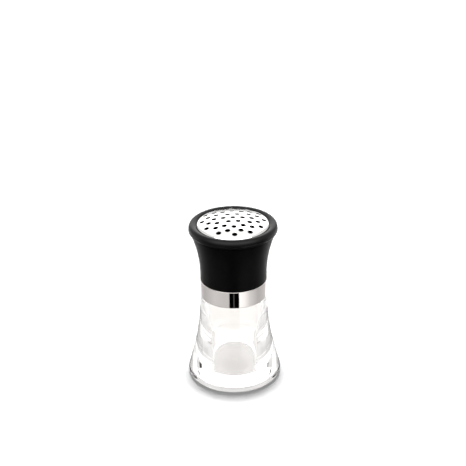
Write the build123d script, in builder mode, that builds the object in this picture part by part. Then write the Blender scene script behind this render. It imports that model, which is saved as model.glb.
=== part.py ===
"""Table spice shaker: clear flared jar, steel collar, screw-on black head, domed sieve plate.

Millimetres, +Z up, origin at the centre of the face that the jar stands on.
Every piece is a body of revolution about Z, apart from its threads, keys and sieve holes.
"""

from build123d import *
import math
import os

os.makedirs("parts", exist_ok=True)

# ---------------------------------------------------------------- outside of the shaker
base_diameter = 67.4  # widest place, a little above the table
waist_diameter = 48.1  # jar and collar below the head
jar_height = 65.5  # bare clear body, up to the collar
collar_height = 12.4
rim_diameter = 62.8  # outside of the rim bead
total_height = 125.0  # top of the domed plate

# ---------------------------------------------------------------- jar
flare_angle = 14.7  # degrees from the vertical, straight skirt of the jar
flare_radius = 172.0  # arc that turns the skirt into the waist
foot_radius = 4.8  # rounded edge under the skirt
floor_thickness = 8.4
cavity_draft = 0.35  # degrees, opens the cavity towards its mouth
cavity_corner_radius = 1.2
foot_width = 6.7  # from the widest place in to the recess
recess_depth = 2.4
recess_corner_radius = 0.8  # round the recess's ceiling
recess_edge_radius = 0.5  # round its opening
gate_diameter = 4.0  # moulding mark in the middle of the recess
gate_depth = 0.4
neck_wall = 1.2
neck_lip_radius = 0.4

# ---------------------------------------------------------------- collar
collar_wall = 0.55
collar_edge_radius = 0.15
press_clearance = 0.05  # between pieces that are pressed or glued together

# ---------------------------------------------------------------- screw thread
thread_starts = 2
thread_pitch = 3.0
thread_turns = 1.0  # wrap of each start
thread_depth = 0.85
thread_root_width = 1.7
thread_crest_width = 0.8
thread_clearance = 0.25  # crest to root, and round the neck
thread_burial = 0.2  # how deep a thread's foot lies in the wall that carries it
thread_rise = 2.6  # collar to the middle of the jar's thread where it begins
thread_runout = 0.7  # plain neck above the liner's thread

# ---------------------------------------------------------------- liner and seal
liner_wall = 0.6  # behind the liner's thread
liner_ledge = 1.4  # inward ledge that presses on the seal
liner_setback = 0.6  # liner ends above the shell's lower edge
snap_width = 1.2
snap_height = 0.3
snap_level = 3.0  # above the liner's lower edge
key_count = 4
key_width = 1.6
key_depth = 0.5
key_length = 5.5
seal_thickness = 1.2
seal_clearance = 0.12
seal_edge_radius = 0.25
mouth_margin = 0.3  # seal and ledges stand back from the neck's bore

# ---------------------------------------------------------------- head shell
head_step = 0.3  # the head stands in from the collar
head_gap = 0.12  # running gap between head and collar
head_straight = 4.0  # cylindrical stretch above the collar
skirt_wall = 1.5  # round the liner
hollow_wall = 2.4  # where the hollow above the liner begins
stop_thickness = 1.5  # ring inside the shell that the liner is pushed up to
shell_edge_radius = 0.3

# ---------------------------------------------------------------- rim ring
rim_width = 5.3  # outside of the bead to the opening round the plate
rim_crown = 4.1  # top of the bead above its widest place
rim_crown_inset = 2.4  # top of the bead in from its outside
rim_under = 2.0  # bead below its widest place
rim_curl = 1.15  # how far the bead curls back in below
rim_overhang = 1.25  # the bead stands out from the shell's top edge
lip_drop = 1.4  # bead slopes down to the opening
lip_thickness = 1.1

# ---------------------------------------------------------------- sieve plate
plate_thickness = 0.4
plate_ledge = 1.15  # flange of the plate under the rim's lip
plate_bearing = 0.5  # shell's upstand reaches in under the plate's side wall
plate_side_clearance = 0.15
plate_step = 2.4  # flange to the edge of the dome
dome_rise = 4.4
dome_edge_radius = 3.0
hole_diameter = 3.6
hole_margin = 4.2  # side of the plate to the middle of the outer holes
ring_shares = [0.31, 0.605, 0.82, 1.0]  # hole rings, as shares of the outermost one's radius
ring_counts = [6, 12, 12, 12]
ring_angles = [3.0, 3.0, 18.0, 3.0]  # degrees, first hole of each ring

# ---------------------------------------------------------------- radii, from the outside in
base_r = base_diameter / 2
recess_r = base_r - foot_width
waist_r = waist_diameter / 2
head_r = waist_r - head_step
seat_r = waist_r - collar_wall - press_clearance
shell_bore_r = head_r - skirt_wall
liner_r = shell_bore_r - press_clearance
liner_root_r = liner_r - liner_wall
thread_crest_r = liner_root_r - thread_clearance
neck_r = thread_crest_r - thread_depth
mouth_r = neck_r - neck_wall
opening_r = mouth_r + mouth_margin

rim_r = rim_diameter / 2
crown_r = rim_r - rim_crown_inset
shell_crest_r = rim_r - rim_overhang
lip_r = rim_r - rim_width
plate_r = lip_r - plate_side_clearance
flange_r = plate_r + plate_ledge
spigot_r = flange_r + press_clearance
shell_mouth_r = plate_r - plate_bearing
hole_field_r = plate_r - hole_margin

# ---------------------------------------------------------------- heights, jar and thread
collar_top = jar_height + collar_height
shoulder_z = collar_top - collar_wall
thread_lead = thread_starts * thread_pitch
jar_thread_z = collar_top + thread_rise
liner_thread_z = jar_thread_z + thread_pitch / 2
liner_thread_top = liner_thread_z + thread_lead * thread_turns + thread_root_width / 2
neck_top = liner_thread_top + thread_runout
cavity_r = mouth_r - (neck_top - floor_thickness) * math.tan(math.radians(cavity_draft))

head_bottom = collar_top + head_gap
liner_bottom = head_bottom + liner_setback
seal_bottom = neck_top + seal_clearance
liner_ledge_z = seal_bottom + seal_thickness + seal_clearance
liner_top = liner_ledge_z + liner_ledge
snap_z = liner_bottom + snap_level
stop_z = liner_top + press_clearance
hollow_z = stop_z + stop_thickness

# ---------------------------------------------------------------- heights, from the top down
dome_edge_z = total_height - dome_rise
flange_top = dome_edge_z - plate_step
plate_seat = flange_top - plate_thickness
lip_z = flange_top + lip_thickness
crown_z = lip_z + lip_drop
rim_level = crown_z - rim_crown
shell_top = rim_level - rim_under

flare_start = head_bottom + head_straight
flare_rise = shell_top - flare_start
flare_reach = shell_crest_r - head_r
head_arc_radius = (flare_rise**2 + flare_reach**2) / (2 * flare_reach)
dome_radius = (plate_r**2 + dome_rise**2) / (2 * dome_rise)


# ---------------------------------------------------------------- shared shapes
def corner(outline, across, up):
    """The vertex of a profile that lies nearest to a radius and a height."""
    return outline.vertices().sort_by_distance((across, up))[0]


def head_outline_r(z):
    """Outside radius of the head shell at a height in its flare."""
    return head_r + head_arc_radius - math.sqrt(head_arc_radius**2 - (z - flare_start) ** 2)


def trapezoid(root_r, crest_r, middle_z, root_width, crest_width):
    """Cross-section of a ridge on a wall: its foot is buried, its crest stands proud."""
    outward = math.copysign(1, crest_r - root_r)
    foot_r = root_r - outward * thread_burial
    return [
        (foot_r, middle_z - root_width / 2),
        (root_r, middle_z - root_width / 2),
        (crest_r, middle_z - crest_width / 2),
        (crest_r, middle_z + crest_width / 2),
        (root_r, middle_z + root_width / 2),
        (foot_r, middle_z + root_width / 2),
    ]


def thread_ridge(root_r, crest_r, start_z):
    """One start of a right-handed thread, beginning on the +X side."""
    with BuildPart() as ridge:
        with BuildLine() as path:
            Helix(thread_lead, thread_lead * thread_turns, root_r, center=(0, 0, start_z))
        with BuildSketch(Plane.XZ):
            with BuildLine():
                Polyline(
                    *trapezoid(root_r, crest_r, start_z, thread_root_width, thread_crest_width),
                    close=True,
                )
            make_face()
        sweep(path=path.line, is_frenet=True)
    return ridge.part


# ---------------------------------------------------------------- jar
skirt_slope = math.radians(flare_angle)
skirt_foot_r = base_r + foot_radius * (math.tan((math.pi / 2 + skirt_slope) / 2) - 1)
arc_end_r = waist_r + flare_radius * (1 - math.cos(skirt_slope))
arc_end_z = (skirt_foot_r - arc_end_r) / math.tan(skirt_slope)
waist_z = arc_end_z + flare_radius * math.sin(skirt_slope)

with BuildPart() as jar:
    with BuildSketch(Plane.XZ) as jar_outline:
        with BuildLine():
            Line((recess_r, 0), (skirt_foot_r, 0))
            Line((skirt_foot_r, 0), (arc_end_r, arc_end_z))
            TangentArc((waist_r, waist_z), (arc_end_r, arc_end_z), tangent=(0, -1))
            Polyline(
                (waist_r, waist_z),
                (waist_r, jar_height),
                (seat_r, jar_height),
                (seat_r, shoulder_z),
                (neck_r, shoulder_z),
                (neck_r, neck_top),
                (mouth_r, neck_top),
                (cavity_r, floor_thickness),
                (0, floor_thickness),
                (0, recess_depth),
                (recess_r, recess_depth),
                (recess_r, 0),
            )
        make_face()
        fillet(corner(jar_outline, skirt_foot_r, 0), foot_radius)
        fillet(corner(jar_outline, cavity_r, floor_thickness), cavity_corner_radius)
        fillet(corner(jar_outline, neck_r, neck_top), neck_lip_radius)
        fillet(corner(jar_outline, mouth_r, neck_top), neck_lip_radius)
        fillet(corner(jar_outline, recess_r, recess_depth), recess_corner_radius)
        fillet(corner(jar_outline, recess_r, 0), recess_edge_radius)
    revolve(axis=Axis.Z)
    with BuildSketch(Plane.XY.offset(recess_depth)):
        Circle(gate_diameter / 2)
    extrude(amount=gate_depth, mode=Mode.SUBTRACT)
    with PolarLocations(0, thread_starts):
        add(thread_ridge(neck_r, thread_crest_r, jar_thread_z))

jar.part.label = "jar"
export_step(jar.part, "parts/jar.step")

# ---------------------------------------------------------------- steel collar, pressed on the jar
with BuildPart() as collar_band:
    with BuildSketch(Plane.XZ) as collar_outline:
        with BuildLine():
            Polyline(
                (waist_r - collar_wall, jar_height),
                (waist_r, jar_height),
                (waist_r, collar_top),
                (neck_r + press_clearance, collar_top),
                (neck_r + press_clearance, shoulder_z),
                (waist_r - collar_wall, shoulder_z),
                close=True,
            )
        make_face()
        fillet(corner(collar_outline, waist_r, jar_height), collar_edge_radius)
        fillet(corner(collar_outline, waist_r, collar_top), collar_edge_radius)
    revolve(axis=Axis.Z)

collar_band.part.label = "collar_band"
export_step(collar_band.part, "parts/collar_band.step")

# ---------------------------------------------------------------- seal, loose in the top of the liner
with BuildPart() as seal_ring:
    with BuildSketch(Plane.XY.offset(seal_bottom)):
        Circle(liner_root_r - seal_clearance)
        Circle(opening_r, mode=Mode.SUBTRACT)
    extrude(amount=seal_thickness)
    fillet(seal_ring.edges().filter_by(GeomType.CIRCLE), seal_edge_radius)

seal_ring.part.label = "seal_ring"
export_step(seal_ring.part, "parts/seal_ring.step")

# ---------------------------------------------------------------- threaded liner, snapped into the shell
with BuildPart() as thread_liner:
    with BuildSketch(Plane.XZ):
        with BuildLine():
            Polyline(
                (liner_root_r, liner_bottom),
                (liner_r, liner_bottom),
                (liner_r, liner_top),
                (opening_r, liner_top),
                (opening_r, liner_ledge_z),
                (liner_root_r, liner_ledge_z),
                close=True,
            )
        make_face()
        with BuildLine():
            Polyline(
                *trapezoid(liner_r, liner_r + snap_height, snap_z, snap_width, snap_width / 2),
                close=True,
            )
        make_face()
    revolve(axis=Axis.Z)
    with BuildSketch(Plane.XY.offset(liner_top)):
        with PolarLocations(liner_r, key_count):
            Rectangle(2 * key_depth, key_width)
    extrude(amount=-key_length)
    with BuildSketch(Plane.XY.offset(liner_ledge_z)):
        Circle(liner_root_r)
    extrude(amount=-key_length, mode=Mode.SUBTRACT)
    with PolarLocations(0, thread_starts):
        add(thread_ridge(liner_root_r, neck_r + thread_clearance, liner_thread_z))

thread_liner.part.label = "thread_liner"
export_step(thread_liner.part, "parts/thread_liner.step")

# ---------------------------------------------------------------- black head shell
with BuildPart() as head_shell:
    with BuildSketch(Plane.XZ) as shell_outline:
        with BuildLine():
            Line((shell_bore_r, head_bottom), (head_r, head_bottom))
            Line((head_r, head_bottom), (head_r, flare_start))
            TangentArc((head_r, flare_start), (shell_crest_r, shell_top), tangent=(0, 1))
            Polyline(
                (shell_crest_r, shell_top),
                (spigot_r, shell_top),
                (spigot_r, plate_seat),
                (shell_mouth_r, plate_seat),
                (head_outline_r(hollow_z) - hollow_wall, hollow_z),
                (opening_r, hollow_z),
                (opening_r, stop_z),
                (shell_bore_r, stop_z),
                (shell_bore_r, head_bottom),
            )
        make_face()
        fillet(corner(shell_outline, head_r, head_bottom), shell_edge_radius)
    revolve(axis=Axis.Z)
    with BuildSketch(Plane.XZ):
        with BuildLine():
            Polyline(
                *trapezoid(
                    shell_bore_r,
                    shell_bore_r + snap_height + press_clearance,
                    snap_z,
                    snap_width + 2 * press_clearance,
                    snap_width / 2 + 2 * press_clearance,
                ),
                close=True,
            )
        make_face()
    revolve(axis=Axis.Z, mode=Mode.SUBTRACT)
    with BuildSketch(Plane.XY.offset(stop_z)):
        with PolarLocations(liner_r, key_count):
            Rectangle(2 * (key_depth + press_clearance), key_width + 2 * press_clearance)
    extrude(amount=-(key_length + 2 * press_clearance), mode=Mode.SUBTRACT)

head_shell.part.label = "head_shell"
export_step(head_shell.part, "parts/head_shell.step")

# ---------------------------------------------------------------- rim ring, pressed over the shell's upstand
with BuildPart() as rim_ring:
    with BuildSketch(Plane.XZ):
        with BuildLine():
            TangentArc((rim_r, rim_level), (rim_r - rim_curl, shell_top), tangent=(0, -1))
            EllipticalCenterArc((crown_r, rim_level), rim_crown_inset, rim_crown)
            TangentArc((crown_r, crown_z), (lip_r, lip_z), tangent=(-1, 0))
            Polyline(
                (lip_r, lip_z),
                (lip_r, flange_top),
                (spigot_r + press_clearance, flange_top),
                (spigot_r + press_clearance, shell_top),
                (rim_r - rim_curl, shell_top),
            )
        make_face()
    revolve(axis=Axis.Z)

rim_ring.part.label = "rim_ring"
export_step(rim_ring.part, "parts/rim_ring.step")

# ---------------------------------------------------------------- domed sieve plate, held under the rim's lip
inner_dome_radius = dome_radius - plate_thickness
inner_plate_r = plate_r - plate_thickness
inner_edge_z = total_height - dome_radius + math.sqrt(inner_dome_radius**2 - inner_plate_r**2)

with BuildPart() as sieve_plate:
    with BuildSketch(Plane.XZ) as plate_outline:
        with BuildLine():
            RadiusArc((0, total_height), (plate_r, dome_edge_z), dome_radius)
            Polyline(
                (plate_r, dome_edge_z),
                (plate_r, flange_top),
                (flange_r, flange_top),
                (flange_r, plate_seat),
                (inner_plate_r, plate_seat),
                (inner_plate_r, inner_edge_z),
            )
            RadiusArc((0, total_height - plate_thickness), (inner_plate_r, inner_edge_z), inner_dome_radius)
            Line((0, total_height - plate_thickness), (0, total_height))
        make_face()
        fillet(corner(plate_outline, plate_r, dome_edge_z), dome_edge_radius)
        fillet(corner(plate_outline, inner_plate_r, inner_edge_z), dome_edge_radius - plate_thickness)
    revolve(axis=Axis.Z)
    with BuildSketch(Plane.XY.offset(total_height + plate_thickness)):
        Circle(hole_diameter / 2)
        for share, count, first_angle in zip(ring_shares, ring_counts, ring_angles):
            with PolarLocations(share * hole_field_r, count, start_angle=first_angle):
                Circle(hole_diameter / 2)
    extrude(amount=plate_seat - total_height - plate_thickness, mode=Mode.SUBTRACT)

sieve_plate.part.label = "sieve_plate"
export_step(sieve_plate.part, "parts/sieve_plate.step")
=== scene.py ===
"""Table spice shaker: clear moulded jar, steel collar, screw-on black head and domed sieve plate.

The CAD frame gives where every piece sits. Lengths are in millimetres until a mesh is made.
"""

import math

import bmesh
import bpy
from mathutils import Matrix, Vector


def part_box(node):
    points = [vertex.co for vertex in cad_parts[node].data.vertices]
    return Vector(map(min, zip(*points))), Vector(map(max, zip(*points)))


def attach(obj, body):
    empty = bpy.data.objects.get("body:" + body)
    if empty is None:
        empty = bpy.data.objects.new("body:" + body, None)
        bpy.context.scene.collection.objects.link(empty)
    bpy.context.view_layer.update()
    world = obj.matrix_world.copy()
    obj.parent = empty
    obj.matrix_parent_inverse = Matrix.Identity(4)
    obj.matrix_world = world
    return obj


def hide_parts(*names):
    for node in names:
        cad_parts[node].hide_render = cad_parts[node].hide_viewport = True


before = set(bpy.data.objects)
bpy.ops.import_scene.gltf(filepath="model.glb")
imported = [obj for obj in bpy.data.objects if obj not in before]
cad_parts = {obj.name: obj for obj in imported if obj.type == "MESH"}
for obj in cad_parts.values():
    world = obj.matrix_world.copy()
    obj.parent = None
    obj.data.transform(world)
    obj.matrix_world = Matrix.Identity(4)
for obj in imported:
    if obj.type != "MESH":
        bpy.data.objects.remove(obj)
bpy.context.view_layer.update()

MM = 0.001
TURN = 2 * math.pi


# ---------------------------------------------------------------- sizes read from the frame
def reach(node_name):
    """Outside radius, lowest and highest point of a CAD node, in millimetres."""
    low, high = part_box(node_name)
    return [round(value / MM, 2) for value in (high.x, low.z, high.z)]


base_r, _, neck_top = reach("jar")
waist_r, jar_height, collar_top = reach("collar_band")
_, head_bottom, plate_seat = reach("head_shell")
rim_r, shell_top, crown_z = reach("rim_ring")
flange_r, _, _ = reach("sieve_plate")

# ---------------------------------------------------------------- jar
flare_angle = math.radians(14.7)
flare_radius = 172.0
foot_radius = 4.8
floor_thickness = 8.4
cavity_r = 18.8
cavity_corner_radius = 1.2
recess_r = 27.0
recess_depth = 2.4
recess_corner_radius = 0.8
recess_edge_radius = 0.5
gate_r = 2.0
gate_depth = 0.4
mould_radius = 0.15
seat_r = 23.45
shoulder_z = 77.35
neck_r = 20.5
mouth_r = 19.3
neck_lip_radius = 0.4

# ---------------------------------------------------------------- screw thread on the neck
thread_crest_r = 21.35
thread_start_z = 80.5
thread_lead = 6.0
thread_starts = 2
thread_root_width = 1.7
thread_crest_width = 0.8
thread_fade = 0.06  # share of a turn in which each end of a thread runs out

# ---------------------------------------------------------------- collar
collar_wall = 0.55
collar_edge_radius = 0.35
press_clearance = 0.05

# ---------------------------------------------------------------- head shell
head_r = 23.75
shell_bore_r = 22.25
shell_edge_radius = 0.3
head_straight = 4.0
head_arc_radius = 86.126
hollow_r = 22.18
hollow_z = 93.94
stop_z = 92.44
opening_r = 19.6
shell_mouth_r = 25.45
spigot_r = 27.15

# ---------------------------------------------------------------- rim ring
crown_r = 29.0
rim_level = 116.6
rim_curl = 1.15
lip_r = 26.1
lip_z = 119.3
flange_top = 118.2

# ---------------------------------------------------------------- sieve plate
plate_r = 25.95
plate_thickness = 0.4
dome_radius = 78.723
dome_top = 125.0
dome_edge_radius = 3.0
hole_diameter = 3.6
hole_edge_radius = 0.12
hole_roll_end = 110.0  # where a hole's rolled edge meets the dome, in degrees
hole_polish = 0.4  # share of the rolled edge, from the top down, that stays polished
hole_field_r = 21.75
# each ring's share of the field's radius, its number of holes and its first hole's angle
hole_rings = [(0.31, 6, 3.0), (0.605, 12, 3.0), (0.82, 12, 18.0), (1.0, 12, 3.0)]
punch_depth = 3 * plate_thickness
punch_stub = 2 * hole_edge_radius

# ---------------------------------------------------------------- surface patterns
flow_width = 14.0
flow_depth = 0.03
flow_stretch = 0.4  # the jar's ripple is drawn out along its height by this scale
grain_width = 0.3
gloss_patch = 9.0
gloss_drift = 0.04
polish_line_width = 0.25
polish_line_depth = 0.002
steel_patch = 12.0
wax_patch = 4.0
dust_width = 0.6

# ---------------------------------------------------------------- mesh density and tolerances
SEGMENTS = 240
PLATE_SEGMENTS = 192
HOLE_SEGMENTS = 40
ARC_STEP = math.radians(6.0)
THREAD_ROW = 0.12
FLARE_STEPS = 24
CURL_STEPS = 8
CREST_STEPS = 28
LIP_STEPS = 10
DOME_STEPS = 48
HOLE_EDGE_STEPS = 5
POLE_RADIUS = 1e-6
MERGE_DISTANCE = 1e-7
WALL_TOLERANCE = 1e-5
SHARP_ANGLE = math.radians(28)


# ---------------------------------------------------------------- outlines
def arc(centre, radius, start, end, steps=None):
    """Points along an arc of a profile, ends included; degrees from +R towards +Z."""
    start, end = math.radians(start), math.radians(end)
    steps = steps or max(2, math.ceil(abs(end - start) / ARC_STEP))
    across, up = radius if isinstance(radius, tuple) else (radius, radius)
    turns = [start + (end - start) * i / steps for i in range(steps + 1)]
    return [(centre[0] + across * math.cos(a), centre[1] + up * math.sin(a)) for a in turns]


def run(start, end, spacing):
    """Points along a straight stretch of a profile, both ends included."""
    steps = math.ceil(math.dist(start, end) / spacing)
    return [tuple(Vector(start).lerp(Vector(end), i / steps)) for i in range(steps + 1)]


def rounded(corners):
    """A closed profile: each corner is (radius, height), or (radius, height, fillet radius)."""
    outline = []
    for i, corner in enumerate(corners):
        here = Vector(corner[:2])
        if len(corner) == 2:
            outline.append(tuple(here))
            continue
        back = (Vector(corners[i - 1][:2]) - here).normalized()
        ahead = (Vector(corners[(i + 1) % len(corners)][:2]) - here).normalized()
        half = back.angle(ahead) / 2
        setback = corner[2] / math.tan(half)
        middle = here + (back + ahead).normalized() * corner[2] / math.sin(half)
        first, last = here + back * setback - middle, here + ahead * setback - middle
        count = max(4, math.ceil((math.pi - 2 * half) / ARC_STEP))
        sweep = first.angle_signed(last)
        for step in range(count + 1):
            turned = Matrix.Rotation(-sweep * step / count, 2) @ first
            outline.append(tuple(middle + turned))
    return outline


# ---------------------------------------------------------------- meshes
def lathe(name, outline, segments=SEGMENTS):
    """Turns a closed outline of (radius, height) points about Z into a closed mesh object."""
    mesh = bmesh.new()
    rings = []
    for radius, height in outline:
        count = segments if radius > POLE_RADIUS else 1
        ring = [
            mesh.verts.new((
                radius * MM * math.cos(TURN * i / segments),
                radius * MM * math.sin(TURN * i / segments),
                height * MM,
            ))
            for i in range(count)
        ]
        rings.append(ring)
    for ring, above in zip(rings, rings[1:] + rings[:1]):
        if len(ring) == len(above) == 1:
            continue
        for i in range(segments):
            j = (i + 1) % segments
            corners = ((ring, i), (ring, j), (above, j), (above, i))
            mesh.faces.new(dict.fromkeys(row[k % len(row)] for row, k in corners))
    bmesh.ops.remove_doubles(mesh, verts=mesh.verts, dist=MERGE_DISTANCE)
    bmesh.ops.recalc_face_normals(mesh, faces=mesh.faces)
    return mesh_object(name, mesh)


def mesh_object(name, mesh):
    """Makes an object of a bmesh."""
    data = bpy.data.meshes.new(name)
    mesh.to_mesh(data)
    mesh.free()
    made = bpy.data.objects.new(name, data)
    bpy.context.scene.collection.objects.link(made)
    return made


def finish_piece(piece, material, body, slot, *nodes):
    """Smooths a mesh up to its sharp edges, and seats it on its body in place of its CAD nodes."""
    piece.data.materials.clear()
    piece.data.materials.append(material)
    piece.data.shade_smooth()
    piece.data.set_sharp_from_angle(angle=SHARP_ANGLE)
    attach(piece, body)
    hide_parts(*nodes)


# ---------------------------------------------------------------- node trees
def node(tree, kind, inputs=None, **settings):
    """Adds a node: first its settings, then its inputs, each a value or another node's socket."""
    made = tree.nodes.new(kind)
    for key, value in settings.items():
        setattr(made, key, value)
    for key, value in (inputs or {}).items():
        if isinstance(value, bpy.types.NodeSocket):
            tree.links.new(value, made.inputs[key])
        else:
            made.inputs[key].default_value = value
    return made


def hex_colour(code):
    """An sRGB hex colour as linear red, green, blue and alpha."""
    values = [int(code[i : i + 2], 16) / 255 for i in (1, 3, 5)]
    return [v / 12.92 if v <= 0.04045 else ((v + 0.055) / 1.055) ** 2.4 for v in values] + [1.0]


def blank_tree(owner):
    """The emptied node tree of a material or a world."""
    owner.use_nodes = True
    owner.node_tree.nodes.clear()
    return owner.node_tree


def from_axis(tree, place):
    """A point's vector out from the Z axis, and its distance from it, as sockets."""
    flat = node(
        tree, "ShaderNodeVectorMath", {0: place, 1: (1, 1, 0)}, operation="MULTIPLY"
    ).outputs[0]
    length = node(tree, "ShaderNodeVectorMath", {0: flat}, operation="LENGTH")
    return flat, length.outputs["Value"]


def new_tree(name, inputs):
    """A Geometry Nodes tree with named inputs, given as {name: socket type}."""
    tree = bpy.data.node_groups.new(name, "GeometryNodeTree")
    shape = "NodeSocketGeometry"
    tree.interface.new_socket(name="Geometry", in_out="INPUT", socket_type=shape)
    for label, kind in inputs.items():
        tree.interface.new_socket(name=label, in_out="INPUT", socket_type=kind)
    tree.interface.new_socket(name="Geometry", in_out="OUTPUT", socket_type=shape)
    return tree, node(tree, "NodeGroupInput").outputs


def run_tree(piece, tree, values):
    """Runs a Geometry Nodes tree on a piece and keeps the result as its plain mesh."""
    modifier = piece.modifiers.new(tree.name, "NODES")
    modifier.node_group = tree
    for item in tree.interface.items_tree:
        if item.in_out == "INPUT" and item.name in values:
            modifier[item.identifier] = values[item.name]
    evaluated = piece.evaluated_get(bpy.context.evaluated_depsgraph_get())
    blank = piece.data
    piece.data = bpy.data.meshes.new_from_object(evaluated)
    piece.data.name = piece.name
    piece.modifiers.remove(modifier)
    bpy.data.meshes.remove(blank)


# ---------------------------------------------------------------- materials
def new_material(name, **surface):
    """A material with one Principled shader, whose plain values are set on its own sockets."""
    material = bpy.data.materials.new(name)
    tree = blank_tree(material)
    inputs = {key.replace("_", " "): value for key, value in surface.items()}
    shader = node(tree, "ShaderNodeBsdfPrincipled", inputs)
    node(tree, "ShaderNodeOutputMaterial", {"Surface": shader.outputs[0]})
    place = node(tree, "ShaderNodeTexCoord").outputs["Object"]
    return material, tree, shader, place


def clear_acrylic():
    """Acrylic, injection moulded and polished: water-clear, with a slow ripple from its flow."""
    material, tree, shader, place = new_material(
        "clear_moulded_acrylic",
        Roughness=0.0,
        IOR=1.49,
        Transmission_Weight=1.0,
    )
    stretch = (1.0, 1.0, flow_stretch)
    flow = node(tree, "ShaderNodeMapping", {"Vector": place, "Scale": stretch})
    ripple = node(
        tree,
        "ShaderNodeTexNoise",
        {"Vector": flow.outputs[0], "Scale": 1 / (flow_width * MM), "Detail": 1.0},
    )
    haze = node(
        tree,
        "ShaderNodeMix",
        {"Factor": ripple.outputs[0], "A": hex_colour("#fdfcfb"), "B": hex_colour("#fbf9f7")},
        data_type="RGBA",
    )
    wave = node(
        tree,
        "ShaderNodeBump",
        {"Height": ripple.outputs[0], "Strength": 0.3, "Distance": flow_depth * MM},
    )
    tree.links.new(haze.outputs["Result"], shader.inputs["Base Color"])
    tree.links.new(wave.outputs[0], shader.inputs["Normal"])
    return material


def moulded_black(name, gloss, roughness, grain_depth):
    """ABS, moulded in a spark-eroded tool: deep black, its highlights broken up by a fine grain."""
    material, tree, shader, place = new_material(name, IOR=1.5, Specular_IOR_Level=gloss)
    # the real grain is about 0.05 mm; it is drawn coarser, so that it can be seen close by
    grain = node(
        tree,
        "ShaderNodeTexNoise",
        {"Vector": place, "Scale": 1 / (grain_width * MM), "Detail": 3.0},
    )
    cloud = node(
        tree,
        "ShaderNodeTexNoise",
        {"Vector": place, "Scale": 1 / (gloss_patch * MM), "Detail": 2.0},
    )
    shade = node(
        tree,
        "ShaderNodeMix",
        {"Factor": cloud.outputs[0], "A": hex_colour("#040404"), "B": hex_colour("#080808")},
        data_type="RGBA",
    )
    sheen = node(
        tree,
        "ShaderNodeMapRange",
        {
            "Value": cloud.outputs[0],
            "To Min": roughness - gloss_drift,
            "To Max": roughness + gloss_drift,
        },
    )
    pits = node(
        tree,
        "ShaderNodeBump",
        {"Height": grain.outputs[0], "Strength": 0.4, "Distance": grain_depth * MM},
    )
    tree.links.new(shade.outputs["Result"], shader.inputs["Base Color"])
    tree.links.new(sheen.outputs["Result"], shader.inputs["Roughness"])
    tree.links.new(pits.outputs[0], shader.inputs["Normal"])
    return material


def polished_steel(name, bright, dull):
    """Stainless steel, drawn and wheel polished: a mirror with faint lines running round it."""
    material, tree, shader, place = new_material(name, Metallic=1.0)
    part = node(tree, "ShaderNodeSeparateXYZ", {0: place}).outputs
    _, radius = from_axis(tree, place)
    round_it = node(tree, "ShaderNodeCombineXYZ", {"X": radius, "Z": part["Z"]}).outputs[0]
    # polishing lines are about 0.02 mm apart; they are drawn coarser, to be seen close by
    lines = node(
        tree,
        "ShaderNodeTexNoise",
        {"Vector": round_it, "Scale": 1 / (polish_line_width * MM), "Detail": 2.0},
    )
    cloud = node(
        tree,
        "ShaderNodeTexNoise",
        {"Vector": place, "Scale": 1 / (steel_patch * MM), "Detail": 2.0},
    )
    tone = node(
        tree,
        "ShaderNodeMix",
        {"Factor": cloud.outputs[0], "A": hex_colour(bright), "B": hex_colour(dull)},
        data_type="RGBA",
    )
    polish = node(
        tree, "ShaderNodeMapRange", {"Value": cloud.outputs[0], "To Min": 0.04, "To Max": 0.09}
    )
    scratch = node(
        tree,
        "ShaderNodeBump",
        {"Height": lines.outputs[0], "Strength": 0.15, "Distance": polish_line_depth * MM},
    )
    tree.links.new(tone.outputs["Result"], shader.inputs["Base Color"])
    tree.links.new(polish.outputs["Result"], shader.inputs["Roughness"])
    tree.links.new(scratch.outputs[0], shader.inputs["Normal"])
    return material


def steel_with_shaded_holes():
    """The sieve's polished steel; punching leaves the holes' walls and the inside dull, and they
    are also painted dark as shade.
    """
    material = polished_steel("polished_steel_plate", "#faf9f8", "#f5f4f2")
    tree = material.node_tree
    shader = tree.nodes["Principled BSDF"]
    place = node(tree, "ShaderNodeTexCoord").outputs["Object"]
    centre = (0, 0, (dome_top - dome_radius) * MM)
    outer = node(
        tree, "ShaderNodeVectorMath", {0: place, 1: centre}, operation="DISTANCE"
    ).outputs["Value"]
    _, radius = from_axis(tree, place)
    below = node(
        tree,
        "ShaderNodeMapRange",
        {
            "Value": outer,
            "From Min": (dome_radius - hole_edge_radius) * MM,
            "From Max": (dome_radius - hole_polish * hole_edge_radius) * MM,
            "To Min": 1.0,
            "To Max": 0.0,
        },
    ).outputs["Result"]
    field = (plate_r - dome_edge_radius) * MM
    within = node(tree, "ShaderNodeMath", {0: radius, 1: field}, operation="LESS_THAN").outputs[0]
    cut = node(tree, "ShaderNodeMath", {0: below, 1: within}, operation="MULTIPLY").outputs[0]
    # the dark colour here is painted shade in the holes and under the plate; the higher roughness
    # is the punched steel's own
    for key, dull in (("Base Color", hex_colour("#2c2a29")), ("Roughness", 0.5)):
        kind = "RGBA" if key == "Base Color" else "FLOAT"
        polished = shader.inputs[key].links[0].from_socket
        mixed = node(
            tree, "ShaderNodeMix", {"Factor": cut, "A": polished, "B": dull}, data_type=kind
        )
        tree.links.new(mixed.outputs["Result"], shader.inputs[key])
    return material


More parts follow.
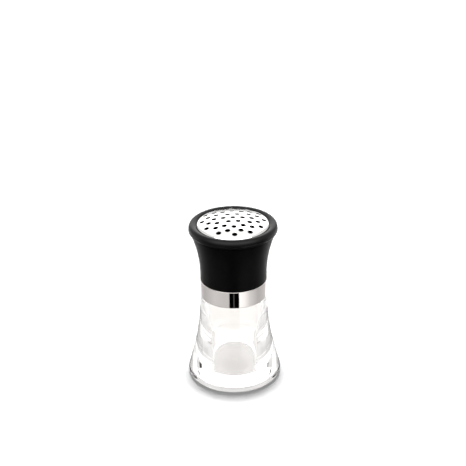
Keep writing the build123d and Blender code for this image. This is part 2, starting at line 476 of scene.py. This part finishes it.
def black_polypropylene():
    """Polypropylene, moulded: black and waxy, with soft clouds in its gloss."""
    material, tree, shader, place = new_material(
        "black_moulded_polypropylene", IOR=1.49, Specular_IOR_Level=0.4
    )
    cloud = node(
        tree,
        "ShaderNodeTexNoise",
        {"Vector": place, "Scale": 1 / (wax_patch * MM), "Detail": 3.0},
    )
    shade = node(
        tree,
        "ShaderNodeMix",
        {"Factor": cloud.outputs[0], "A": hex_colour("#0d0d0d"), "B": hex_colour("#151515")},
        data_type="RGBA",
    )
    waxy = node(
        tree, "ShaderNodeMapRange", {"Value": cloud.outputs[0], "To Min": 0.38, "To Max": 0.55}
    )
    tree.links.new(shade.outputs["Result"], shader.inputs["Base Color"])
    tree.links.new(waxy.outputs["Result"], shader.inputs["Roughness"])
    return material


def silicone():
    """Silicone rubber, moulded: milky, with a dusty, slightly uneven surface."""
    material, tree, shader, place = new_material(
        "milky_moulded_silicone", IOR=1.41, Specular_IOR_Level=0.35
    )
    dust = node(
        tree,
        "ShaderNodeTexNoise",
        {"Vector": place, "Scale": 1 / (dust_width * MM), "Detail": 3.0},
    )
    shade = node(
        tree,
        "ShaderNodeMix",
        {"Factor": dust.outputs[0], "A": hex_colour("#dededb"), "B": hex_colour("#ebebe9")},
        data_type="RGBA",
    )
    matt = node(
        tree, "ShaderNodeMapRange", {"Value": dust.outputs[0], "To Min": 0.45, "To Max": 0.65}
    )
    tree.links.new(shade.outputs["Result"], shader.inputs["Base Color"])
    tree.links.new(matt.outputs["Result"], shader.inputs["Roughness"])
    return material


# ---------------------------------------------------------------- jar
def screw_thread_tree():
    """Pushes the neck's wall out along the thread's starts, whose ends fade into the wall."""
    names = [
        "Wall Radius", "Thread Depth", "First Height", "Lead", "Root Width", "Crest Width", "Fade",
    ]
    kinds = dict.fromkeys(names, "NodeSocketFloat")
    kinds["Material"] = "NodeSocketMaterial"
    tree, given = new_tree("screw_thread", kinds)
    place = node(tree, "GeometryNodeInputPosition").outputs[0]
    part = node(tree, "ShaderNodeSeparateXYZ", {0: place}).outputs
    flat, radius = from_axis(tree, place)
    outward = node(tree, "ShaderNodeVectorMath", {0: flat}, operation="NORMALIZE").outputs[0]
    angle = node(
        tree, "ShaderNodeMath", {0: part["Y"], 1: part["X"]}, operation="ARCTAN2"
    ).outputs[0]
    share = node(tree, "ShaderNodeMath", {0: angle, 1: TURN}, operation="DIVIDE").outputs[0]
    half_root = node(
        tree, "ShaderNodeMath", {0: given["Root Width"], 1: 0.5}, operation="MULTIPLY"
    ).outputs[0]
    half_crest = node(
        tree, "ShaderNodeMath", {0: given["Crest Width"], 1: 0.5}, operation="MULTIPLY"
    ).outputs[0]
    ridge = None
    for start in range(thread_starts):
        late = node(
            tree, "ShaderNodeMath", {0: share, 1: -start / thread_starts}, operation="ADD"
        ).outputs[0]
        along = node(tree, "ShaderNodeMath", {0: late}, operation="FRACT").outputs[0]
        climb = node(
            tree,
            "ShaderNodeMath",
            {0: along, 1: given["Lead"], 2: given["First Height"]},
            operation="MULTIPLY_ADD",
        ).outputs[0]
        off = node(
            tree, "ShaderNodeMath", {0: part["Z"], 1: climb}, operation="SUBTRACT"
        ).outputs[0]
        away = node(tree, "ShaderNodeMath", {0: off}, operation="ABSOLUTE").outputs[0]
        flank = node(
            tree,
            "ShaderNodeMapRange",
            {
                "Value": away,
                "From Min": half_root,
                "From Max": half_crest,
                "To Min": 0.0,
                "To Max": 1.0,
            },
            interpolation_type="SMOOTHSTEP",
        ).outputs["Result"]
        end = node(
            tree, "ShaderNodeMath", {0: along, 1: 0.5, 2: 0.5}, operation="PINGPONG"
        ).outputs[0]
        fade = node(
            tree,
            "ShaderNodeMapRange",
            {
                "Value": end,
                "From Min": 0.0,
                "From Max": given["Fade"],
                "To Min": 0.0,
                "To Max": 1.0,
            },
            interpolation_type="SMOOTHSTEP",
        ).outputs["Result"]
        height = node(
            tree, "ShaderNodeMath", {0: flank, 1: fade}, operation="MULTIPLY"
        ).outputs[0]
        ridge = height if ridge is None else node(
            tree, "ShaderNodeMath", {0: ridge, 1: height}, operation="MAXIMUM"
        ).outputs[0]
    on_wall = node(
        tree,
        "ShaderNodeMath",
        {0: radius, 1: given["Wall Radius"], 2: WALL_TOLERANCE},
        operation="COMPARE",
    ).outputs[0]
    push = node(
        tree, "ShaderNodeMath", {0: ridge, 1: given["Thread Depth"]}, operation="MULTIPLY"
    ).outputs[0]
    kept = node(tree, "ShaderNodeMath", {0: push, 1: on_wall}, operation="MULTIPLY").outputs[0]
    offset = node(
        tree, "ShaderNodeVectorMath", {0: outward, "Scale": kept}, operation="SCALE"
    ).outputs[0]
    moved = node(
        tree, "GeometryNodeSetPosition", {"Geometry": given["Geometry"], "Offset": offset}
    ).outputs[0]
    plain = node(tree, "GeometryNodeRealizeInstances", {"Geometry": moved}).outputs[0]
    painted = node(
        tree, "GeometryNodeSetMaterial", {"Geometry": plain, "Material": given["Material"]}
    ).outputs[0]
    node(tree, "NodeGroupOutput", {"Geometry": painted})
    return tree


def make_jar():
    """Thick-floored flared jar with its threaded neck."""
    foot_r = base_r + foot_radius * (math.tan((math.pi / 2 + flare_angle) / 2) - 1)
    flare_corner_z = (foot_r - waist_r) / math.tan(flare_angle)
    outline = rounded([
        (0, recess_depth + gate_depth),
        (gate_r, recess_depth + gate_depth, mould_radius),
        (gate_r, recess_depth, mould_radius),
        (recess_r, recess_depth, recess_corner_radius),
        (recess_r, 0, recess_edge_radius),
        (foot_r, 0, foot_radius),
        (waist_r, flare_corner_z, flare_radius),
        (waist_r, jar_height),
        (seat_r, jar_height),
        (seat_r, shoulder_z),
        *run((neck_r, shoulder_z), (neck_r, neck_top - 2 * neck_lip_radius), THREAD_ROW),
        (neck_r, neck_top, neck_lip_radius),
        (mouth_r, neck_top, neck_lip_radius),
        (cavity_r, floor_thickness, cavity_corner_radius),
        (0, floor_thickness),
    ])
    jar = lathe("clear_jar", outline)
    acrylic = clear_acrylic()
    run_tree(jar, screw_thread_tree(), {
        "Wall Radius": neck_r * MM,
        "Thread Depth": (thread_crest_r - neck_r) * MM,
        "First Height": thread_start_z * MM,
        "Lead": thread_lead * MM,
        "Root Width": thread_root_width * MM,
        "Crest Width": thread_crest_width * MM,
        "Fade": thread_fade,
        "Material": acrylic,
    })
    finish_piece(jar, acrylic, "jar_body", "clear_acrylic", "jar")


# ---------------------------------------------------------------- collar
def make_collar():
    """Steel sleeve, turned in at the top over the jar's shoulder."""
    inner_r = waist_r - collar_wall
    outline = rounded([
        (inner_r, jar_height),
        (waist_r, jar_height, collar_edge_radius),
        (waist_r, collar_top, collar_edge_radius),
        (neck_r + press_clearance, collar_top),
        (neck_r + press_clearance, shoulder_z),
        (inner_r, shoulder_z),
    ])
    collar = lathe("steel_collar", outline)
    steel = polished_steel("polished_steel_sleeve", "#d7d2cf", "#d1ccc9")
    finish_piece(collar, steel, "jar_body", "polished_steel", "collar_band")


# ---------------------------------------------------------------- head
def make_head_shell(black):
    """Flared black shell with the ring inside it that stops the liner."""
    flare_start = head_bottom + head_straight
    flare_centre = (head_r + head_arc_radius, flare_start)
    flare_turn = math.degrees(math.asin((shell_top - flare_start) / head_arc_radius))
    outline = rounded([
        (shell_bore_r, head_bottom, mould_radius),
        (head_r, head_bottom, shell_edge_radius),
        *arc(flare_centre, head_arc_radius, 180, 180 - flare_turn, FLARE_STEPS),
        (spigot_r, shell_top),
        (spigot_r, plate_seat),
        (shell_mouth_r, plate_seat),
        (hollow_r, hollow_z),
        (opening_r, hollow_z),
        (opening_r, stop_z),
        (shell_bore_r, stop_z),
    ])
    shell = lathe("black_head_shell", outline)
    finish_piece(shell, black, "head", "black_abs", "head_shell")


def make_rim(black):
    """Rounded ring round the sieve plate."""
    curl_radius = (rim_curl**2 + (rim_level - shell_top) ** 2) / (2 * rim_curl)
    curl_turn = math.degrees(math.asin((rim_level - shell_top) / curl_radius))
    crest = (rim_r - crown_r, crown_z - rim_level)
    lip_radius = ((crown_r - lip_r) ** 2 + (crown_z - lip_z) ** 2) / (2 * (crown_z - lip_z))
    lip_turn = math.degrees(math.asin((crown_r - lip_r) / lip_radius))
    outline = rounded([
        (spigot_r + press_clearance, shell_top),
        *arc((rim_r - curl_radius, rim_level), curl_radius, -curl_turn, 0, CURL_STEPS),
        *arc((crown_r, rim_level), crest, 0, 90, CREST_STEPS)[1:],
        *arc((crown_r, crown_z - lip_radius), lip_radius, 90, 90 + lip_turn, LIP_STEPS)[1:],
        (lip_r, flange_top),
        (spigot_r + press_clearance, flange_top),
    ])
    rim = lathe("black_rim_ring", outline)
    finish_piece(rim, black, "head", "black_abs", "rim_ring")


# ---------------------------------------------------------------- sieve plate
def sieve_punch_tree():
    """Punches rings of holes, square to the dome, through the plate."""
    floats = ["Field Radius", "Dome Radius", "Dome Top"]
    rings = range(1, len(hole_rings) + 1)
    for ring in rings:
        floats += [f"Ring {ring} Share", f"Ring {ring} Angle"]
    kinds = dict.fromkeys(floats, "NodeSocketFloat")
    kinds.update({f"Ring {ring} Holes": "NodeSocketInt" for ring in rings})
    kinds["Punch"] = "NodeSocketObject"
    kinds["Material"] = "NodeSocketMaterial"
    tree, given = new_tree("sieve_punch", kinds)
    spots = [node(tree, "GeometryNodePoints", {"Count": 1}).outputs[0]]
    for ring in rings:
        radius = node(
            tree,
            "ShaderNodeMath",
            {0: given[f"Ring {ring} Share"], 1: given["Field Radius"]},
            operation="MULTIPLY",
        ).outputs[0]
        circle = node(
            tree,
            "GeometryNodeMeshCircle",
            {"Vertices": given[f"Ring {ring} Holes"], "Radius": radius},
        ).outputs[0]
        turn = node(tree, "ShaderNodeCombineXYZ", {"Z": given[f"Ring {ring} Angle"]}).outputs[0]
        turned = node(tree, "GeometryNodeTransform", {"Geometry": circle, "Rotation": turn})
        spots.append(turned.outputs[0])
    joined = node(tree, "GeometryNodeJoinGeometry")
    for spot in spots:
        tree.links.new(spot, joined.inputs[0])
    place = node(tree, "GeometryNodeInputPosition").outputs[0]
    away = node(tree, "ShaderNodeVectorMath", {0: place}, operation="LENGTH").outputs["Value"]
    out_squared = node(tree, "ShaderNodeMath", {0: away, 1: 2.0}, operation="POWER").outputs[0]
    dome_squared = node(
        tree, "ShaderNodeMath", {0: given["Dome Radius"], 1: 2.0}, operation="POWER"
    ).outputs[0]
    left = node(
        tree, "ShaderNodeMath", {0: dome_squared, 1: out_squared}, operation="SUBTRACT"
    ).outputs[0]
    rise = node(tree, "ShaderNodeMath", {0: left}, operation="SQRT").outputs[0]
    centre_z = node(
        tree,
        "ShaderNodeMath",
        {0: given["Dome Top"], 1: given["Dome Radius"]},
        operation="SUBTRACT",
    ).outputs[0]
    height = node(tree, "ShaderNodeMath", {0: centre_z, 1: rise}, operation="ADD").outputs[0]
    lift = node(tree, "ShaderNodeCombineXYZ", {"Z": height}).outputs[0]
    seated = node(
        tree, "GeometryNodeSetPosition", {"Geometry": joined.outputs[0], "Offset": lift}
    ).outputs[0]
    centre = node(tree, "ShaderNodeCombineXYZ", {"Z": centre_z}).outputs[0]
    square = node(
        tree, "ShaderNodeVectorMath", {0: place, 1: centre}, operation="SUBTRACT"
    ).outputs[0]
    facing = node(
        tree, "FunctionNodeAlignRotationToVector", {"Vector": square}, axis="Z"
    ).outputs[0]
    punch = node(tree, "GeometryNodeObjectInfo", {"Object": given["Punch"]}).outputs["Geometry"]
    placed = node(
        tree,
        "GeometryNodeInstanceOnPoints",
        {"Points": seated, "Instance": punch, "Rotation": facing},
    ).outputs[0]
    punches = node(tree, "GeometryNodeRealizeInstances", {"Geometry": placed}).outputs[0]
    cut = node(
        tree,
        "GeometryNodeMeshBoolean",
        {"Mesh 1": given["Geometry"], "Mesh 2": punches},
        operation="DIFFERENCE",
        solver="EXACT",
    ).outputs[0]
    plain = node(tree, "GeometryNodeRealizeInstances", {"Geometry": cut}).outputs[0]
    painted = node(
        tree, "GeometryNodeSetMaterial", {"Geometry": plain, "Material": given["Material"]}
    ).outputs[0]
    node(tree, "NodeGroupOutput", {"Geometry": painted})
    return tree


def make_sieve():
    """Domed plate with its rings of holes, each with a rolled upper edge."""
    centre_z = dome_top - dome_radius
    edge_r = plate_r - dome_edge_radius
    edge_z = centre_z + math.sqrt((dome_radius - dome_edge_radius) ** 2 - edge_r**2)
    edge_angle = math.degrees(math.atan2(edge_z - centre_z, edge_r))
    inner_dome = dome_radius - plate_thickness
    inner_edge = dome_edge_radius - plate_thickness
    outline = [
        *arc((0, centre_z), inner_dome, 90, edge_angle, DOME_STEPS),
        *arc((edge_r, edge_z), inner_edge, edge_angle, 0)[1:],
        (plate_r - plate_thickness, plate_seat),
        (flange_r, plate_seat),
        (flange_r, flange_top),
        (plate_r, flange_top),
        *arc((edge_r, edge_z), dome_edge_radius, 0, edge_angle),
        *arc((0, centre_z), dome_radius, edge_angle, 90, DOME_STEPS)[1:],
    ]
    plate = lathe("domed_sieve_plate", outline, PLATE_SEGMENTS)
    hole_r = hole_diameter / 2
    roll_centre = (hole_r + hole_edge_radius, -hole_edge_radius)
    punch_outline = [
        (0, -punch_depth),
        (hole_r, -punch_depth),
        *arc(roll_centre, hole_edge_radius, 180, hole_roll_end, HOLE_EDGE_STEPS),
        (roll_centre[0] + hole_edge_radius, punch_stub),
        (0, punch_stub),
    ]
    punch = lathe("punch", punch_outline, HOLE_SEGMENTS)
    steel = steel_with_shaded_holes()
    values = {
        "Field Radius": hole_field_r * MM,
        "Dome Radius": dome_radius * MM,
        "Dome Top": dome_top * MM,
        "Punch": punch,
        "Material": steel,
    }
    for ring, (share, holes, first_angle) in enumerate(hole_rings, 1):
        values[f"Ring {ring} Share"] = share
        values[f"Ring {ring} Holes"] = holes
        values[f"Ring {ring} Angle"] = math.radians(first_angle)
    run_tree(plate, sieve_punch_tree(), values)
    bpy.data.objects.remove(punch)
    finish_piece(plate, steel, "head", "sieve_steel", "sieve_plate")


make_jar()
make_collar()
make_head_shell(moulded_black("matt_moulded_abs", gloss=0.07, roughness=0.4, grain_depth=0.012))
make_rim(moulded_black("satin_moulded_abs", gloss=0.2, roughness=0.36, grain_depth=0.006))
make_sieve()
for node_name, material in (("thread_liner", black_polypropylene()), ("seal_ring", silicone())):
    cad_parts[node_name].material_slots[0].material = material


# ---------------------------------------------------------------- studio
# The floor and the cards: radii and heights in millimetres, and azimuths in degrees from the
# camera's side towards +X. A card is bent round the shaker between two (radius, height) points.
floor_drop = 0.05
floor_half_width = 4000.0
# what the paper gives off, near the shaker and far from it
near_r, near_glow = 120.0, 0.25
far_r, far_glow = 1200.0, 0.95
# painted light: what it gives off as seen through the clear jar, as (radius, level), bright under
# the jar where its shadow falls
painted_light_levels = [(0, 0.72), (10, 0.74), (28, 0.93), (36, 0.93), (46, 0.1), (200, 0.1), (600, 1.3)]
glow_reach, glow_peak = painted_light_levels[-1]
# the surround's level as light on matt surfaces, and in mirrors and through the jar
ambient_level = 0.096
mirrored_share = 0.78

foot_edge = (36.0, 0.0)
near_edge, far_edge = (116.0, 0.0), (230.0, 0.0)
wall_r = 900.0
side_wall_r = 905.0
ceiling_r, ceiling_z = 1500.0, 1500.0
card_step = 3.0
# two points, then the first and last azimuth
black_cards = [
    (foot_edge, near_edge, -180.0, 180.0),
    (near_edge, far_edge, -14.0, -1.3),
    (near_edge, far_edge, 1.9, 16.6),
    (far_edge, (wall_r, 0.0), -90.0, 90.0),
    ((wall_r, 0.0), (wall_r, 150.0), -90.0, 90.0),
    ((620.0, 0.0), (2600.0, 0.0), 125.0, 235.0),
]
# dark strips that show only through the jar, as thin streaks in its wall
streak_cards = [
    ((wall_r, 0.0), (wall_r, 330.0), 106.0, 118.0),
    ((wall_r, 500.0), (wall_r, 1200.0), 136.0, 142.0),
    ((wall_r, 450.0), (wall_r, 900.0), -142.0, -139.5),
]
# bright walls at both sides, seen only through the jar: first and last azimuth
side_cards = [(58.0, 128.0), (-128.0, -58.0)]
side_glow = 1.35
# two points, first and last azimuth, then the level at each
top_card = ((0.0, ceiling_z), (ceiling_r, ceiling_z), -180.0, 180.0, 1.1, 1.1)
front_card = ((890.0, 230.0), (890.0, 1400.0), -60.0, 60.0, 3.0, 3.0)
# the band on the floor that the collar mirrors: first and last azimuth, then the level at each
tone_cards = [
    (-140.0, -110.0, 0.8, 0.66),
    (-110.0, -60.0, 0.66, 0.92),
    (-60.0, -14.0, 0.9, 0.82),
    (-1.3, 1.9, 0.12, 0.12),
    (18.5, 36.0, 1.65, 1.45),
    (36.0, 52.0, 1.45, 1.0),
    (52.0, 85.0, 1.0, 0.66),
    (85.0, 130.0, 0.66, 0.85),
]
light_bounces = 32


def unscattered(tree, ray):
    """One for a ray that no matt surface has scattered yet, else nought."""
    return node(
        tree, "ShaderNodeMath", {0: ray["Diffuse Depth"], 1: 0.5}, operation="LESS_THAN"
    ).outputs[0]


def paint_floor():
    """White paper: its own shade under the lamps, with enough glow to be seen as white, and painted
    light and shade where it is seen through the jar.
    """
    material = bpy.data.materials.new("white_sweep")
    tree = blank_tree(material)
    ray = node(tree, "ShaderNodeLightPath").outputs
    place = node(tree, "ShaderNodeTexCoord").outputs["Object"]
    away = node(tree, "ShaderNodeVectorMath", {0: place}, operation="LENGTH").outputs["Value"]
    through = ray["Is Transmission Ray"]
    # seen through the jar the paper is a darker grey: painted shade
    shade = node(
        tree,
        "ShaderNodeMix",
        {"Factor": through, "A": hex_colour("#e7e7e7"), "B": hex_colour("#dcdbda")},
        data_type="RGBA",
    )
    paper = node(tree, "ShaderNodeBsdfDiffuse", {"Color": shade.outputs["Result"]})
    first = unscattered(tree, ray)
    spread = node(
        tree,
        "ShaderNodeMapRange",
        {
            "Value": away,
            "From Min": near_r * MM,
            "From Max": far_r * MM,
            "To Min": near_glow,
            "To Max": far_glow,
        },
    ).outputs["Result"]
    share = node(
        tree, "ShaderNodeMath", {0: away, 1: glow_reach * MM}, operation="DIVIDE"
    ).outputs[0]
    levels = node(tree, "ShaderNodeValToRGB", {"Fac": share})
    for radius, level in painted_light_levels[1:-1]:
        levels.color_ramp.elements.new(radius / glow_reach)
    for stop, (radius, level) in zip(levels.color_ramp.elements, painted_light_levels):
        stop.position = radius / glow_reach
        stop.color = (level / glow_peak, level / glow_peak, level / glow_peak, 1.0)
    below = node(
        tree, "ShaderNodeMath", {0: levels.outputs[0], 1: glow_peak}, operation="MULTIPLY"
    ).outputs[0]
    # seen through the jar the glow follows the painted light levels instead
    glow = node(tree, "ShaderNodeMix", {"Factor": through, "A": spread, "B": below})
    kept = node(
        tree, "ShaderNodeMath", {0: glow.outputs["Result"], 1: first}, operation="MULTIPLY"
    ).outputs[0]
    light = node(tree, "ShaderNodeEmission", {"Strength": kept})
    both = node(tree, "ShaderNodeAddShader", {0: paper.outputs[0], 1: light.outputs[0]})
    node(tree, "ShaderNodeOutputMaterial", {"Surface": both.outputs[0]})
    return material


def card_mesh(name, near, far, start, end):
    """A card bent round the shaker, from one (radius, height) to another."""
    mesh = bmesh.new()
    steps = max(2, math.ceil(abs(end - start) / card_step))
    rows = []
    for radius, height in (near, far):
        row = []
        for i in range(steps + 1):
            turn = math.radians(start + (end - start) * i / steps)
            spot = (radius * math.sin(turn), -radius * math.cos(turn), height)
            row.append(mesh.verts.new(Vector(spot) * MM))
        rows.append(row)
    for i in range(steps):
        mesh.faces.new((rows[0][i], rows[1][i], rows[1][i + 1], rows[0][i + 1]))
    return mesh_object(name, mesh)


def paint_card(name, start, end, first, last):
    """A card's brightness, from the first to the last, across its azimuths."""
    material = bpy.data.materials.new(name)
    tree = blank_tree(material)
    place = node(tree, "ShaderNodeTexCoord").outputs["Object"]
    part = node(tree, "ShaderNodeSeparateXYZ", {0: place}).outputs
    front = node(tree, "ShaderNodeMath", {0: part["Y"], 1: -1.0}, operation="MULTIPLY").outputs[0]
    turn = node(tree, "ShaderNodeMath", {0: part["X"], 1: front}, operation="ARCTAN2").outputs[0]
    tone = node(
        tree,
        "ShaderNodeMapRange",
        {
            "Value": turn,
            "From Min": math.radians(start),
            "From Max": math.radians(end),
            "To Min": first,
            "To Max": last,
        },
    ).outputs["Result"]
    light = node(tree, "ShaderNodeEmission", {"Strength": tone})
    node(tree, "ShaderNodeOutputMaterial", {"Surface": light.outputs[0]})
    return material


def make_card(name, near, far, start, end, first=0.0, last=0.0, mirrored=True, through=False):
    """A card seen only in reflections, only through the clear jar, or in both."""
    card = card_mesh(name, near, far, start, end)
    card.data.materials.append(paint_card(name, start, end, first, last))
    card.visible_camera = card.visible_diffuse = card.visible_shadow = False
    card.visible_glossy, card.visible_transmission = mirrored, through


def make_floor():
    """White paper floor, just under the shaker's foot."""
    mesh = bmesh.new()
    bmesh.ops.create_grid(mesh, x_segments=1, y_segments=1, size=floor_half_width * MM)
    floor = mesh_object("floor", mesh)
    floor.location.z = -floor_drop * MM
    floor.data.materials.append(paint_floor())


def make_cards():
    """The cards that shape the reflections and what shows through the jar."""
    for i, card in enumerate(black_cards):
        make_card(f"black_card_{i}", *card)
    for i, card in enumerate(streak_cards):
        make_card(f"streak_card_{i}", *card, mirrored=False, through=True)
    for i, (start, end) in enumerate(side_cards):
        card = (side_wall_r, 0.0), (side_wall_r, ceiling_z), start, end, side_glow, side_glow
        make_card(f"side_card_{i}", *card, mirrored=False, through=True)
    for i, card in enumerate(tone_cards):
        make_card(f"tone_card_{i}", near_edge, far_edge, *card)
    make_card("top_card", *top_card)
    make_card("front_card", *front_card)


def make_surround():
    """White surround: full to the camera, less in mirrors and the jar, faint on matt surfaces."""
    world = bpy.data.worlds.new("white_surround")
    bpy.context.scene.world = world
    tree = blank_tree(world)
    ray = node(tree, "ShaderNodeLightPath").outputs
    first = unscattered(tree, ray)
    mirrored = node(
        tree,
        "ShaderNodeMath",
        {0: ray["Is Glossy Ray"], 1: ray["Is Transmission Ray"]},
        operation="MAXIMUM",
    ).outputs[0]
    seen = node(
        tree,
        "ShaderNodeMath",
        {0: mirrored, 1: mirrored_share, 2: ray["Is Camera Ray"]},
        operation="MULTIPLY_ADD",
    ).outputs[0]
    seen = node(tree, "ShaderNodeMath", {0: seen, 1: first}, operation="MULTIPLY").outputs[0]
    level = node(
        tree, "ShaderNodeMapRange", {"Value": seen, "To Min": ambient_level, "To Max": 1.0}
    ).outputs["Result"]
    back = node(
        tree, "ShaderNodeBackground", {"Color": hex_colour("#ffffff"), "Strength": level}
    )
    node(tree, "ShaderNodeOutputWorld", {"Surface": back.outputs[0]})
    world.cycles.sampling_method = "NONE"


def softbox(name, azimuth, elevation, distance, width, height, brightness, seen_in_gloss):
    """An area lamp aimed at the shaker: lengths in metres, azimuth 0 the camera's side, 90 +X."""
    lamp = bpy.data.lights.new(name, "AREA")
    lamp.shape = "RECTANGLE"
    lamp.size, lamp.size_y = width, height
    lamp.energy = brightness * math.pi * width * height
    turn, lift = math.radians(azimuth), math.radians(elevation)
    out = math.cos(lift)
    away = Vector((math.sin(turn) * out, -math.cos(turn) * out, math.sin(lift)))
    holder = bpy.data.objects.new(name, lamp)
    bpy.context.scene.collection.objects.link(holder)
    holder.location = Vector((0, 0, dome_top * MM / 2)) + away * distance
    holder.rotation_mode = "QUATERNION"
    holder.rotation_quaternion = away.to_track_quat("Z", "Y")
    holder.visible_camera = False
    holder.visible_glossy = holder.visible_transmission = seen_in_gloss
    holder.visible_diffuse = not seen_in_gloss


make_floor()
make_cards()
make_surround()
softbox(
    "key_lamp",
    azimuth=180,
    elevation=87,
    distance=1.2,
    width=0.14,
    height=0.14,
    brightness=330,
    seen_in_gloss=False,
)
softbox(
    "back_softbox",
    azimuth=180,
    elevation=30,
    distance=1.2,
    width=1.6,
    height=0.9,
    brightness=1.15,
    seen_in_gloss=True,
)
# light crosses the jar's walls, floor and recess many times before it leaves them
bpy.context.scene.cycles.max_bounces = light_bounces
bpy.context.scene.cycles.transmission_bounces = light_bounces
bpy.context.scene.cycles.glossy_bounces = light_bounces
bpy.context.scene.cycles.caustics_refractive = False

# ---------------------------------------------------------------- camera
camera_elevation = math.radians(25.12)
camera_distance = 800.0
camera_roll = math.radians(-0.707)
aim_lift = 45.51  # how far the camera is shifted up across its view from the shaker's middle
focal_pixels = 1107.65
frame_pixels = 466
sensor_width = 36.0


def make_camera():
    """Camera in front of the shaker, looking down on it, with a slight roll."""
    ahead = Vector((0, math.cos(camera_elevation), -math.sin(camera_elevation)))
    up = Vector((0, math.sin(camera_elevation), math.cos(camera_elevation)))
    side = Vector((1, 0, 0))
    aim = (up * aim_lift + Vector((0, 0, dome_top / 2))) * MM
    lens = bpy.data.cameras.new("camera")
    lens.sensor_width = sensor_width
    lens.lens = focal_pixels / frame_pixels * sensor_width
    camera = bpy.data.objects.new("camera", lens)
    bpy.context.scene.collection.objects.link(camera)
    across = side * math.cos(camera_roll) + up * math.sin(camera_roll)
    upward = up * math.cos(camera_roll) - side * math.sin(camera_roll)
    turned = Matrix((across, upward, -ahead)).transposed().to_4x4()
    camera.matrix_world = Matrix.Translation(aim - ahead * (camera_distance * MM)) @ turned
    bpy.context.scene.camera = camera


make_camera()
bpy.context.scene.view_settings.view_transform = "Standard"
